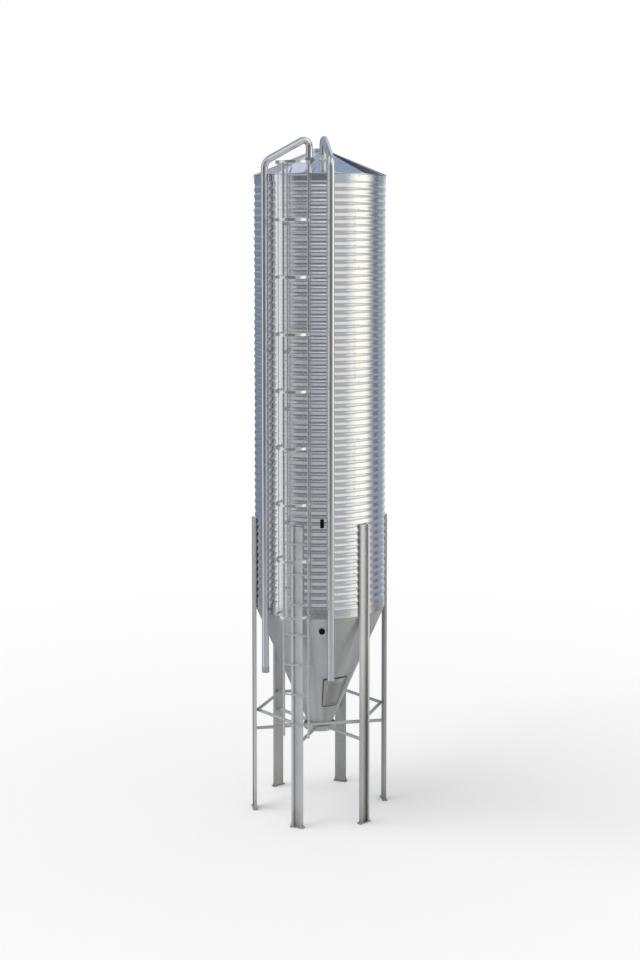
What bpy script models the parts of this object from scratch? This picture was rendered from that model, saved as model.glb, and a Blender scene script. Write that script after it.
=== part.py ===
"""Hopper-bottom feed silo on six legs, with a caged ladder, a fill pipe and a
return pipe.  Metres, +Z up.  The origin is on the ground, in the middle of the
circle of legs.  The ladder and leg 1 face -Y.  Angles are measured at the
silo's axis from -Y towards +X, in degrees.
"""
import math

import bmesh
import bpy
from mathutils import Matrix, Vector

# ---------------------------------------------------------------- dimensions
GAP = 0.0003            # play between two faces that rest on each other

# cylinder, over the crests of the corrugation
SHELL_R = 1.000
SHELL_WALL = 0.022      # depth of the corrugation, as one plain wall
SHELL_SIDES = 48
SKIRT_Z0 = 3.155        # smooth band that joins the cylinder to the hopper
SKIRT_Z1 = 3.315
RING_H = 0.8455         # one ring of sheets, eight corrugations of 105.7 mm
RING_TOP = 9.625        # the last ring is a short one
EAVE_Z = 9.725

# roof
ROOF_R = 1.012
ROOF_SLOPE = 0.413      # rise per metre of radius, about 22.4 degrees
ROOF_Z_AT_SHELL = 9.744
ROOF_T = 0.014
CAP_R = 0.170
CAP_H = 0.048

# hopper
CONE_APEX_Z = 0.880
CONE_RISE = 2.280       # rise per metre of radius, about 66.3 degrees
CONE_T = 0.012
CONE_TOP = SKIRT_Z0 - GAP
OUTLET_Z0 = 1.221
OUTLET_Z1 = 1.233
OUTLET_R_IN = 0.140
OUTLET_R_OUT = 0.250

# inspection hatch on the hopper
HATCH_A0, HATCH_A1 = 23.8, 69.0
HATCH_Z0, HATCH_Z1 = 1.635, 2.135
SEAL_W = 0.018

# sight windows
WINDOW_A = 21.1
WINDOW_Z = 4.589
WINDOW_W = 0.057
WINDOW_H = 0.128
GLASS_Z = 2.965         # the round one stands upright in a short stub
GLASS_R = 0.0465
STUB_R = 0.0575
STUB_END = 0.950        # distance of the stub's face from the silo's axis

# legs: lipped channels that open outwards
LEG_W = 0.180
LEG_RHO0 = SHELL_R + 0.0004
LEG_RHO1 = 1.045
LEG_T = 0.005
LEG_LIP = 0.038
LEG_TOP = 4.535
FOOT_W = 0.222
FOOT_RHO0, FOOT_RHO1 = 0.982, 1.062
FOOT_T = 0.012
GUSSET_H = 0.075

# braces between the legs
BRACE_Z = 1.545
BRACE_D = 0.048
BRACE_RHO = 0.972
SPOKE_Z = 1.254
SPOKE_D = 0.040
SPOKE_END = LEG_RHO0 - GAP
HUB_R_OUT = 0.250
HUB_R_IN = 0.236
HUB_Z1 = 1.295

# ladder
STILE_X = 0.194
STILE_W = 0.028
STILE_D = 0.028
LADDER_RHO = 1.063
LADDER_Z0 = 1.392
LADDER_Z1 = 9.870
RUNG_D = 0.024
RUNG_Z0 = 1.5725
RUNG_STEP = 0.4518
RUNGS = 19

# safety cage
CAGE_RHO = 1.188
CAGE_R_IN = 0.2452
CAGE_R_OUT = 0.2512
HOOP_H = 0.040
HOOP_Z0 = 3.265
HOOP_STEP = 0.8263
HOOPS = 9
HOOP_END = 119.0
STRAP_W = 0.020
STRAP_T = 0.005
STRAP_R = 0.2430
STRAP_ANGLES = {"left": -97.0, "centre": 0.0, "right": 97.0}

# pipes
PIPE_R = 0.0525
PIPE_BORE = 0.0475
PIPE_RHO = 1.077
PIPE_RUN_Z = 9.906      # where the riser's axis meets the sloping run's axis
FILL_A = -30.0          # the risers
RETURN_A = 28.0
FILL_Z0 = 2.300
RETURN_Z0 = 2.268
FILL_DROP = (1.8, 0.524)        # angle and radius where the drop enters the roof
RETURN_DROP = (25.3, 0.4415)
FILL_TOP_Z = 10.288     # where the sloping run's axis meets the drop's axis
RETURN_TOP_Z = 10.312
BEND_LOW = 0.165
BEND_TOP = 0.085
PIPE_SIDES = 16
CLAMP_Z = (3.235, 5.429, 7.120, 8.811)


# ------------------------------------------------------------------- helpers
def clear_scene():
    for ob in list(bpy.data.objects):
        bpy.data.objects.remove(ob, do_unlink=True)
    for me in list(bpy.data.meshes):
        bpy.data.meshes.remove(me)
    for ma in list(bpy.data.materials):
        bpy.data.materials.remove(ma)


def material(name, colour, roughness, metallic):
    mat = bpy.data.materials.new(name)
    mat.use_nodes = True
    shader = mat.node_tree.nodes["Principled BSDF"]
    shader.inputs["Base Color"].default_value = (*colour, 1.0)
    shader.inputs["Roughness"].default_value = roughness
    shader.inputs["Metallic"].default_value = metallic
    mat.diffuse_color = (*colour, 1.0)
    return mat


def polar(angle, rho, z):
    a = math.radians(angle)
    return Vector((rho * math.sin(a), -rho * math.cos(a), z))


def radial_frame(angle, rho, z):
    """x runs round the silo (to the right, seen from outside), y runs
    outwards and z runs up, with the origin at angle, rho and z.  It is a
    left-handed frame, so meshes are placed before their normals are set."""
    a = math.radians(angle)
    tangent = Vector((math.cos(a), math.sin(a), 0.0))
    outward = Vector((math.sin(a), -math.cos(a), 0.0))
    m = Matrix.Identity(4)
    m.col[0][:3] = tangent
    m.col[1][:3] = outward
    m.col[2][:3] = (0.0, 0.0, 1.0)
    m.col[3][:3] = polar(angle, rho, z)
    return m


def cone_r(z):
    return (z - CONE_APEX_Z) / CONE_RISE


def roof_z(r):
    return ROOF_Z_AT_SHELL + ROOF_SLOPE * (SHELL_R - r)


def tidy(bm):
    bmesh.ops.remove_doubles(bm, verts=bm.verts, dist=1e-6)
    bmesh.ops.recalc_face_normals(bm, faces=bm.faces)
    volume = bm.calc_volume(signed=True)
    if volume < 0:
        bmesh.ops.reverse_faces(bm, faces=bm.faces)


def finish(name, bm, mat, smooth=None):
    tidy(bm)
    mesh = bpy.data.meshes.new(name)
    bm.to_mesh(mesh)
    bm.free()
    ob = bpy.data.objects.new(name, mesh)
    bpy.context.scene.collection.objects.link(ob)
    ob.data.materials.append(mat)
    if smooth is not None:
        mesh.shade_smooth()
        mesh.set_sharp_from_angle(angle=math.radians(smooth))
    return ob


def turned(profile, steps, angle=360.0, start=0.0):
    """A closed (r, z) outline turned about the silo's axis."""
    bm = bmesh.new()
    verts = [bm.verts.new(polar(start, r, z)) for r, z in profile]
    edges = [bm.edges.new((verts[i], verts[(i + 1) % len(verts)]))
             for i in range(len(verts))]
    full = abs(angle - 360.0) < 1e-9
    if full:
        bmesh.ops.spin(bm, geom=verts + edges, cent=(0, 0, 0), axis=(0, 0, 1),
                       angle=math.radians(angle), steps=steps, use_merge=True)
    else:
        out = bmesh.ops.spin(bm, geom=verts + edges, cent=(0, 0, 0),
                             axis=(0, 0, 1), angle=math.radians(angle),
                             steps=steps)
        last = [g for g in out["geom_last"] if isinstance(g, bmesh.types.BMEdge)]
        bmesh.ops.contextual_create(bm, geom=edges)
        bmesh.ops.contextual_create(bm, geom=last)
    return bm


def prism(outline, height):
    """A closed (x, y) outline extruded along z."""
    bm = bmesh.new()
    face = bm.faces.new([bm.verts.new((x, y, 0.0)) for x, y in outline])
    out = bmesh.ops.extrude_face_region(bm, geom=[face])
    top = [g for g in out["geom"] if isinstance(g, bmesh.types.BMVert)]
    bmesh.ops.translate(bm, verts=top, vec=(0.0, 0.0, height))
    return bm


def block(x0, x1, y0, y1, z0, z1):
    bm = prism([(x0, y0), (x1, y0), (x1, y1), (x0, y1)], z1 - z0)
    bmesh.ops.translate(bm, verts=bm.verts, vec=(0.0, 0.0, z0))
    return bm


def placed(bm, matrix):
    bmesh.ops.transform(bm, matrix=matrix, verts=bm.verts)
    return bm


def rod(p0, p1, diameter, sides, turn=0.0):
    """A round or polygonal bar from p0 to p1."""
    p0, p1 = Vector(p0), Vector(p1)
    axis = p1 - p0
    bm = bmesh.new()
    bmesh.ops.create_cone(bm, cap_ends=True, cap_tris=False, segments=sides,
                          radius1=diameter / 2, radius2=diameter / 2,
                          depth=axis.length,
                          matrix=Matrix.Rotation(turn, 4, "Z"))
    spin = axis.to_track_quat("Z", "Y").to_matrix().to_4x4()
    return placed(bm, Matrix.Translation((p0 + p1) / 2) @ spin)


def boolean(name, base, others, operation, mat, smooth=None):
    """base with each mesh in others added to it or cut from it."""
    ob = finish(name, base, mat)
    for other in others:
        tool = finish("tool", other, mat)
        mod = ob.modifiers.new("cut", "BOOLEAN")
        mod.operation = operation
        mod.solver = "EXACT"
        mod.object = tool
        graph = bpy.context.evaluated_depsgraph_get()
        mesh = bpy.data.meshes.new_from_object(ob.evaluated_get(graph))
        ob.modifiers.clear()
        old = ob.data
        ob.data = mesh
        bpy.data.meshes.remove(old)
        old = tool.data
        bpy.data.objects.remove(tool, do_unlink=True)
        bpy.data.meshes.remove(old)
    bm = bmesh.new()
    bm.from_mesh(ob.data)
    bmesh.ops.remove_doubles(bm, verts=bm.verts, dist=2e-6)
    bmesh.ops.dissolve_degenerate(bm, dist=2e-6, edges=bm.edges)
    bm.to_mesh(ob.data)
    bm.free()
    ob.data.name = name
    if smooth is not None:
        ob.data.shade_smooth()
        ob.data.set_sharp_from_angle(angle=math.radians(smooth))
    return ob


def cone_patch(a0, a1, z0, z1, off0, off1, columns=9, rows=4):
    """A piece of shell that follows the hopper, between two heights and two
    angles, from off0 to off1 outside the hopper's surface."""
    tilt = math.atan(1.0 / CONE_RISE)
    cos_t, sin_t = math.cos(tilt), math.sin(tilt)
    bm = bmesh.new()
    grid = {}
    for side, off in enumerate((off0, off1)):
        for i in range(columns + 1):
            for j in range(rows + 1):
                a = a0 + (a1 - a0) * i / columns
                z = z0 + (z1 - z0) * j / rows
                grid[side, i, j] = bm.verts.new(
                    polar(a, cone_r(z) + off * cos_t, z - off * sin_t))
    for i in range(columns):
        for j in range(rows):
            for side in (0, 1):
                bm.faces.new([grid[side, i, j], grid[side, i + 1, j],
                              grid[side, i + 1, j + 1], grid[side, i, j + 1]])
    for i in range(columns):
        for j in (0, rows):
            bm.faces.new([grid[0, i, j], grid[0, i + 1, j],
                          grid[1, i + 1, j], grid[1, i, j]])
    for j in range(rows):
        for i in (0, columns):
            bm.faces.new([grid[0, i, j], grid[0, i, j + 1],
                          grid[1, i, j + 1], grid[1, i, j]])
    return bm


def pipe_route(z_start, reach, top_z, end_z):
    """Points of the pipe's axis as (s, z), with s along the ground from the
    riser to the drop: riser, bend, sloping run, bend and drop, with true arcs
    in the bends."""
    def corner(p, before, after, radius, pieces):
        u = (before - p).normalized()
        v = (after - p).normalized()
        half = u.angle(v) / 2
        back = radius / math.tan(half)
        centre = p + (u + v).normalized() * (radius / math.sin(half))
        a0 = math.atan2(*reversed((p + u * back - centre)[:]))
        a1 = math.atan2(*reversed((p + v * back - centre)[:]))
        turn = (a1 - a0 + math.pi) % (2 * math.pi) - math.pi
        return [centre + radius * Vector((math.cos(a0 + turn * k / pieces),
                                          math.sin(a0 + turn * k / pieces)))
                for k in range(pieces + 1)]

    start = Vector((0.0, z_start))
    low = Vector((0.0, PIPE_RUN_Z))
    top = Vector((reach, top_z))
    end = Vector((reach, end_z))
    route = [start]
    route += corner(low, start, top, BEND_LOW, 7)
    route += corner(top, low, end, BEND_TOP, 8)
    route.append(end)
    return route


def pipe(z_start, angle, drop, top_z):
    """A pipe with a real bore; its lower end is square and its upper end is
    cut to the slope of the roof."""
    foot = polar(angle, PIPE_RHO, 0.0)
    inlet = polar(drop[0], drop[1], 0.0)
    ahead = inlet - foot
    reach = ahead.length
    ahead.normalize()
    across = Vector((-ahead.y, ahead.x, 0.0))
    route = pipe_route(z_start, reach, top_z, roof_z(drop[1]))
    bm = bmesh.new()
    rings = []
    for i, p in enumerate(route):
        if i == 0:
            along = (route[1] - p).normalized()
        elif i == len(route) - 1:
            along = (p - route[-2]).normalized()
        else:
            along = ((route[i + 1] - p).normalized()
                     + (p - route[i - 1]).normalized()).normalized()
        side = Vector((along.y, -along.x))       # in the (s, z) plane
        ring = []
        for radius in (PIPE_R, PIPE_BORE):
            loop = []
            for k in range(PIPE_SIDES):
                t = 2 * math.pi * (k + 0.5) / PIPE_SIDES
                q = p + side * (radius * math.sin(t))
                at = foot + ahead * q.x + across * (radius * math.cos(t))
                z = q.y
                if i == len(route) - 1:
                    z = roof_z(math.hypot(at.x, at.y)) + 0.0012
                loop.append(bm.verts.new((at.x, at.y, z)))
            ring.append(loop)
        rings.append(ring)
    n = PIPE_SIDES
    for a, b in zip(rings, rings[1:]):
        for w in (0, 1):
            for k in range(n):
                bm.faces.new([a[w][k], a[w][(k + 1) % n],
                              b[w][(k + 1) % n], b[w][k]])
    for ring in (rings[0], rings[-1]):
        for k in range(n):
            bm.faces.new([ring[0][k], ring[0][(k + 1) % n],
                          ring[1][(k + 1) % n], ring[1][k]])
    return bm


# -------------------------------------------------------------------- pieces
def build_shell(mats):
    inner = SHELL_R - SHELL_WALL

    def ring(name, z0, z1, mat):
        return finish(name, turned([(SHELL_R, z0), (SHELL_R, z1),
                                    (inner, z1), (inner, z0)], SHELL_SIDES),
                      mat, smooth=30)

    ring("skirt_ring", SKIRT_Z0, SKIRT_Z1 - GAP, mats["matte"])
    z = SKIRT_Z1
    number = 1
    while z < RING_TOP - 1e-6:
        top = min(z + RING_H, RING_TOP)
        name = "shell_ring_%d" % number
        if z < WINDOW_Z < top:
            body = turned([(SHELL_R, z), (SHELL_R, top - GAP),
                           (inner, top - GAP), (inner, z)], SHELL_SIDES)
            hole = placed(block(-WINDOW_W / 2 + 0.008, WINDOW_W / 2 - 0.008,
                                -0.1, 0.1, -WINDOW_H / 2 + 0.008,
                                WINDOW_H / 2 - 0.008),
                          radial_frame(WINDOW_A, SHELL_R, WINDOW_Z))
            boolean(name, body, [hole], "DIFFERENCE", mats["sheet"], 30)
        else:
            ring(name, z, top - GAP, mats["sheet"])
        z = top
        number += 1
    ring("eave_ring", RING_TOP, EAVE_Z, mats["sheet"])

    window = placed(block(-WINDOW_W / 2, WINDOW_W / 2, 0.0006, 0.009,
                          -WINDOW_H / 2, WINDOW_H / 2),
                    radial_frame(WINDOW_A, SHELL_R, WINDOW_Z))
    finish("upper_sight_window", window, mats["glass"])


def build_roof(mats):
    z_foot = EAVE_Z + GAP
    outline = [(ROOF_R, z_foot), (ROOF_R, roof_z(ROOF_R)),
               (CAP_R - 0.012, roof_z(CAP_R - 0.012)),
               (CAP_R - 0.012, roof_z(CAP_R - 0.012) - ROOF_T),
               (0.962, roof_z(0.962) - ROOF_T), (0.962, z_foot)]
    holes = []
    for angle, rho in (FILL_DROP, RETURN_DROP):
        p = polar(angle, rho, 0.0)
        holes.append(rod((p.x, p.y, 9.7), (p.x, p.y, 10.2),
                         2 * PIPE_BORE, PIPE_SIDES, math.pi / PIPE_SIDES))
    boolean("roof_cone", turned(outline, SHELL_SIDES), holes, "DIFFERENCE",
            mats["roof"], 20)

    seat = roof_z(CAP_R - 0.012) + GAP
    z0 = roof_z(CAP_R) - 0.001
    cap = [(0.0, seat), (CAP_R - 0.012, seat), (CAP_R, z0 + 0.003),
           (CAP_R, z0 + CAP_H - 0.010), (0.0, z0 + CAP_H + 0.012)]
    bm = bmesh.new()
    steps = 32
    loops = []
    for r, z in cap:
        if r == 0.0:
            loops.append([bm.verts.new((0.0, 0.0, z))])
        else:
            loops.append([bm.verts.new(polar(360.0 * k / steps, r, z))
                          for k in range(steps)])
    for low, high in zip(loops, loops[1:]):
        for k in range(steps):
            j = (k + 1) % steps
            if len(low) == 1:
                bm.faces.new([low[0], high[j], high[k]])
            elif len(high) == 1:
                bm.faces.new([low[k], low[j], high[0]])
            else:
                bm.faces.new([low[k], low[j], high[j], high[k]])
    finish("roof_cap", bm, mats["roof"], 30)


def build_hopper(mats):
    wall = CONE_T / math.cos(math.atan(1.0 / CONE_RISE))
    z0 = OUTLET_Z1 + GAP
    body = turned([(cone_r(z0), z0), (cone_r(CONE_TOP), CONE_TOP),
                   (cone_r(CONE_TOP) - wall, CONE_TOP),
                   (cone_r(z0) - wall, z0)], SHELL_SIDES)
    door = cone_patch(HATCH_A0 + 3.0, HATCH_A1 - 3.0, HATCH_Z0 + 0.025,
                      HATCH_Z1 - 0.025, -0.05, 0.05, columns=1, rows=1)
    sight = placed(rod((0, -0.1, 0), (0, 0.1, 0), 2 * GLASS_R - 0.016, 16),
                   radial_frame(WINDOW_A, cone_r(GLASS_Z), GLASS_Z))
    boolean("hopper_cone", body, [door, sight], "DIFFERENCE",
            mats["matte"], 20)

    finish("hatch_cover",
           cone_patch(HATCH_A0 + 1.8, HATCH_A1 - 1.8, HATCH_Z0 + SEAL_W,
                      HATCH_Z1 - SEAL_W, 0.0015, 0.0105),
           mats["matte"], 20)
    outer = cone_patch(HATCH_A0, HATCH_A1, HATCH_Z0, HATCH_Z1, 0.0015, 0.0085)
    inner = cone_patch(HATCH_A0 + 1.74, HATCH_A1 - 1.74,
                       HATCH_Z0 + SEAL_W - 0.0006, HATCH_Z1 - SEAL_W + 0.0006,
                       -0.02, 0.04)
    boolean("hatch_seal", outer, [inner], "DIFFERENCE", mats["rubber"])

    # the round window: a pane in a level stub that ends on the hopper
    spot = radial_frame(WINDOW_A, STUB_END, GLASS_Z)
    finish("lower_sight_glass",
           placed(rod((0, -0.0120, 0), (0, -0.0050, 0), 2 * GLASS_R, 24), spot),
           mats["glass"], 30)
    stub = placed(rod((0, -0.115, 0), (0, 0, 0), 2 * STUB_R, 24), spot)
    bore = placed(rod((0, -0.200, 0), (0, 0.050, 0), 2 * GLASS_R + 0.0010, 24),
                  spot)
    low, high = GLASS_Z - 0.2, GLASS_Z + 0.15
    inside = turned([(0.3, low), (cone_r(low) + 0.0010, low),
                     (cone_r(high) + 0.0010, high), (0.3, high)], SHELL_SIDES)
    boolean("lower_sight_frame", stub, [bore, inside], "DIFFERENCE",
            mats["matte"], 30)

    finish("outlet_flange",
           turned([(OUTLET_R_OUT, OUTLET_Z0), (OUTLET_R_OUT, OUTLET_Z1),
                   (OUTLET_R_IN, OUTLET_Z1), (OUTLET_R_IN, OUTLET_Z0)],
                  32), mats["matte"], 30)


def build_legs(mats):
    w = LEG_W / 2
    y0, y1, t, lip = 0.0, LEG_RHO1 - LEG_RHO0, LEG_T, LEG_LIP
    outline = [(-w, y0), (w, y0), (w, y1), (w - lip, y1), (w - lip, y1 - t),
               (w - t, y1 - t), (w - t, y0 + t), (-w + t, y0 + t),
               (-w + t, y1 - t), (-w + lip, y1 - t), (-w + lip, y1), (-w, y1)]
    for number in range(6):
        angle = 60.0 * number
        post = prism(outline, LEG_TOP - FOOT_T + 0.002)
        bmesh.ops.translate(post, verts=post.verts,
                            vec=(0.0, 0.0, FOOT_T - 0.002))
        plate = block(-FOOT_W / 2, FOOT_W / 2, FOOT_RHO0 - LEG_RHO0,
                      FOOT_RHO1 - LEG_RHO0, 0.0, FOOT_T)
        parts = [plate]
        for side in (-1, 1):
            a = side * (w - 0.002)
            b = side * (FOOT_W / 2 - 0.004)
            gusset = prism([(a, FOOT_T - 0.002), (b, FOOT_T - 0.002),
                            (b, FOOT_T + 0.008), (a, GUSSET_H)], 0.006)
            gusset = placed(gusset, Matrix.Rotation(math.radians(90), 4, "X"))
            bmesh.ops.translate(gusset, verts=gusset.verts,
                                vec=(0.0, 0.028, 0.0))
            parts.append(gusset)
        frame = radial_frame(angle, LEG_RHO0, 0.0)
        leg = boolean("leg_%d" % (number + 1), placed(post, frame),
                      [placed(p, frame) for p in parts], "UNION",
                      mats["matte"])
        leg.data.shade_flat()


def build_braces(mats):
    # ring of tubes from leg to leg, mitred at the legs
    sides = 8
    bm = bmesh.new()
    loops = []
    for number in range(6):
        angle = 60.0 * number
        loop = []
        for k in range(sides):
            t = 2 * math.pi * (k + 0.5) / sides
            u = BRACE_D / 2 * math.cos(t)
            v = BRACE_D / 2 * math.sin(t)
            loop.append(bm.verts.new(
                polar(angle, BRACE_RHO + u / math.cos(math.radians(30)),
                      BRACE_Z + v)))
        loops.append(loop)
    for i in range(6):
        a, b = loops[i], loops[(i + 1) % 6]
        for k in range(sides):
            bm.faces.new([a[k], a[(k + 1) % sides], b[(k + 1) % sides], b[k]])
    finish("brace_ring", bm, mats["matte"], 50)

    # hub round the outlet with a spoke to each leg
    hub = turned([(HUB_R_OUT, OUTLET_Z1 + GAP), (HUB_R_OUT, HUB_Z1),
                  (HUB_R_IN, HUB_Z1), (HUB_R_IN, OUTLET_Z1 + GAP)], 36)
    spokes = []
    half = SPOKE_D / 2
    for number in range(6):
        bar = block(-half, half, HUB_R_IN + 0.006, SPOKE_END,
                    -half, half)
        spokes.append(placed(bar, radial_frame(60.0 * number, 0.0,
                                               SPOKE_Z + 0.004)))
    boolean("outlet_brace", hub, spokes, "UNION", mats["matte"], 30)


def build_ladder(mats):
    joints = (LADDER_Z0, RUNG_Z0 + 5.5 * RUNG_STEP, RUNG_Z0 + 11.5 * RUNG_STEP,
              LADDER_Z1)
    wall_y = -math.sqrt(SHELL_R ** 2 - STILE_X ** 2) - 0.0025
    for section in range(3):
        z0, z1 = joints[section], joints[section + 1]
        if section < 2:
            z1 -= GAP
        parts = []
        base = None
        for side in (-1, 1):
            x = side * STILE_X
            stile = block(x - STILE_W / 2, x + STILE_W / 2,
                          -LADDER_RHO - STILE_D / 2,
                          -LADDER_RHO + STILE_D / 2, z0, z1)
            if base is None:
                base = stile
            else:
                parts.append(stile)
        for k in range(RUNGS):
            z = RUNG_Z0 + k * RUNG_STEP
            if z0 < z < z1:
                reach = STILE_X - STILE_W / 2 + 0.006
                parts.append(rod((-reach, -LADDER_RHO, z),
                                 (reach, -LADDER_RHO, z), RUNG_D, 8,
                                 math.pi / 8))
        # stand-off brackets against the wall of the cylinder
        heights = {0: (3.605,), 1: (4.585, 6.275), 2: (7.120, 8.995)}[section]
        for z in heights:
            for side in (-1, 1):
                x = side * STILE_X
                parts.append(block(x - 0.003, x + 0.003,
                                   -LADDER_RHO + STILE_D / 2 - 0.004,
                                   wall_y, z - 0.025, z + 0.025))
        name = ("ladder_lower", "ladder_middle", "ladder_upper")[section]
        boolean(name, base, parts, "UNION", mats["steel"])

    # ties from the top of the stiles to the roof
    for side, word in ((-1, "left"), (1, "right")):
        x = side * (STILE_X - 0.004)
        y_in, y_heel = -0.723, -0.749
        z_in = roof_z(math.hypot(x, y_in) - 0.004) + 0.0012
        z_heel = roof_z(math.hypot(x, y_heel) - 0.004) + 0.0012
        y_out = -LADDER_RHO + STILE_D / 2 + 0.0004
        outline = [(y_out, 9.831), (y_out, 9.859), (y_heel, z_heel + 0.030),
                   (y_in, z_in + 0.014), (y_in, z_in), (y_heel, z_heel)]
        bm = prism(outline, 0.008)
        turn = Matrix(((0, 0, 1, x - 0.004), (1, 0, 0, 0), (0, 1, 0, 0),
                       (0, 0, 0, 1)))
        finish("ladder_tie_%s" % word, placed(bm, turn), mats["steel"])


def build_cage(mats):
    for number in range(HOOPS):
        z = HOOP_Z0 + number * HOOP_STEP
        bm = turned([(CAGE_R_OUT, z - HOOP_H / 2), (CAGE_R_OUT, z + HOOP_H / 2),
                     (CAGE_R_IN, z + HOOP_H / 2), (CAGE_R_IN, z - HOOP_H / 2)],
                    24, 2 * HOOP_END, -HOOP_END)
        bmesh.ops.translate(bm, verts=bm.verts, vec=(0.0, -CAGE_RHO, 0.0))
        finish("cage_hoop_%d" % (number + 1), bm, mats["steel"], 30)
    z0 = HOOP_Z0 - HOOP_H / 2
    z1 = HOOP_Z0 + (HOOPS - 1) * HOOP_STEP + HOOP_H / 2
    for word, angle in STRAP_ANGLES.items():
        bar = block(-STRAP_W / 2, STRAP_W / 2, STRAP_R - STRAP_T, STRAP_R,
                    z0, z1)
        bar = placed(bar, Matrix.Translation((0.0, -CAGE_RHO, 0.0))
                     @ radial_frame(angle, 0.0, 0.0))
        finish("cage_strap_%s" % word, bar, mats["steel"])


def build_pipes(mats):
    for name, angle, z_start, drop, top_z in (
            ("fill_pipe", FILL_A, FILL_Z0, FILL_DROP, FILL_TOP_Z),
            ("return_pipe", RETURN_A, RETURN_Z0, RETURN_DROP, RETURN_TOP_Z)):
        clamps = []
        for z in CLAMP_Z:
            clamps.append(placed(
                block(-0.004, 0.004, SHELL_R + 0.0008,
                      PIPE_RHO - PIPE_R + 0.0015, z - 0.02, z + 0.02),
                radial_frame(angle, 0.0, 0.0)))
        boolean(name, pipe(z_start, angle, drop, top_z), clamps, "UNION",
                mats["pipe"], 35)

    # coupling sleeve on the lower end of the fill pipe
    centre = polar(FILL_A, PIPE_RHO, 0.0)
    bm = turned([(PIPE_R + 0.0065, 2.285), (PIPE_R + 0.0065, 2.365),
                 (PIPE_R + 0.0005, 2.365), (PIPE_R + 0.0005, 2.285)], 24)
    bmesh.ops.translate(bm, verts=bm.verts, vec=centre)
    finish("fill_coupling", bm, mats["pipe"], 30)


def main():
    clear_scene()
    mats = {
        "sheet": material("galvanised_sheet", (0.60, 0.62, 0.64), 0.28, 1.0),
        "roof": material("roof_sheet", (0.40, 0.46, 0.54), 0.30, 1.0),
        "matte": material("galvanised_steel", (0.42, 0.42, 0.42), 0.50, 0.9),
        "steel": material("ladder_steel", (0.55, 0.55, 0.56), 0.35, 1.0),
        "pipe": material("pipe_steel", (0.66, 0.67, 0.68), 0.22, 1.0),
        "rubber": material("rubber_seal", (0.05, 0.05, 0.05), 0.7, 0.0),
        "glass": material("sight_glass", (0.01, 0.01, 0.01), 0.1, 0.0),
    }
    build_shell(mats)
    build_roof(mats)
    build_hopper(mats)
    build_legs(mats)
    build_braces(mats)
    build_ladder(mats)
    build_cage(mats)
    build_pipes(mats)


main()
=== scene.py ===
"""Looks of a hopper-bottom grain silo on six legs.

Metres, +Z up, origin on the ground in the middle of the circle of legs.  The
ladder and leg 1 face -Y.  Angles are measured at the silo's axis from -Y
towards +X, in degrees, as in the CAD.
"""
import math

import bmesh
import bpy
import numpy as np
from mathutils import Matrix, Vector


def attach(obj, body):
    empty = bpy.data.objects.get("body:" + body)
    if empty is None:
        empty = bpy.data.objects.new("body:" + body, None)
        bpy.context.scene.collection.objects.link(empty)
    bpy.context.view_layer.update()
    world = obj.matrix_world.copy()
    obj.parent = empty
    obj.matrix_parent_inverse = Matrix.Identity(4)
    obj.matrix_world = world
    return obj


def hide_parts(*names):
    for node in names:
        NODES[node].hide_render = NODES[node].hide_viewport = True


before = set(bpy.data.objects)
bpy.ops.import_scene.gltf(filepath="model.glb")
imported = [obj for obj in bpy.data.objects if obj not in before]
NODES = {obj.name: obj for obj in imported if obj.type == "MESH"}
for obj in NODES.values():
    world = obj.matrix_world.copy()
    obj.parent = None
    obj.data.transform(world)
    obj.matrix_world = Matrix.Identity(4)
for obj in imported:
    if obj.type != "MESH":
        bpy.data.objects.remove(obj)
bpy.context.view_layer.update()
SCENE = bpy.context.scene

# ------------------------------------------------------------ CAD dimensions
SKIRT_Z0, SKIRT_Z1 = 3.155, 3.315
RING_H, RING_TOP, EAVE_Z = 0.8455, 9.625, 9.725
PITCH = 0.10569
CREST = 0.78                      # phase of the first crest above SKIRT_Z1
DEPTH = 0.0113                    # depth of the corrugation
CONE_APEX_Z, CONE_RISE = 0.880, 2.280
FILL_A, RETURN_A = -30.0, 28.0
FILL_DROP, RETURN_DROP = (1.8, 0.524), (25.3, 0.4415)
PIPE_RHO, PIPE_R = 1.077, 0.0525
WINDOW_A = 21.1
FACET_A, FACETS = -45.0, 14       # first edge and number of the roof's facets


def cone_r(z):
    return (z - CONE_APEX_Z) / CONE_RISE


def roof_z(r):
    return 9.744 + 0.413 * (1.0 - r)


def polar(angle, rho, z):
    a = math.radians(angle)
    return (rho * math.sin(a), -rho * math.cos(a), z)


def facet_z(x, y):
    """Height of the faceted roof over a point."""
    step = 360.0 / FACETS
    a = (math.degrees(math.atan2(x, -y)) - FACET_A) % step - step / 2
    along = math.hypot(x, y) * math.cos(math.radians(a))
    return roof_z(along / math.cos(math.radians(step / 2)))


def radial(angle, rho, z, tilt=0.0):
    """x round the silo, y outwards, z up; tilt leans y downwards, radians."""
    a = math.radians(angle)
    m = Matrix.Identity(4)
    m.col[0][:3] = (math.cos(a), math.sin(a), 0.0)
    m.col[1][:3] = (math.sin(a), -math.cos(a), 0.0)
    m.col[3][:3] = polar(angle, rho, z)
    if tilt:
        m = m @ Matrix.Rotation(-tilt, 4, "X")
    return m


CONE_TILT = math.atan(1.0 / CONE_RISE)


# -------------------------------------------------------------- mesh building
class Build:
    """Collects closed shells into one mesh."""

    def __init__(self):
        self.v, self.f = [], []

    def add(self, part, matrix=None):
        verts, faces = part
        base = len(self.v)
        if matrix is not None:
            verts = [tuple(matrix @ Vector(p)) for p in verts]
        self.v.extend(verts)
        self.f.extend([tuple(base + i for i in f) for f in faces])
        return self


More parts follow.
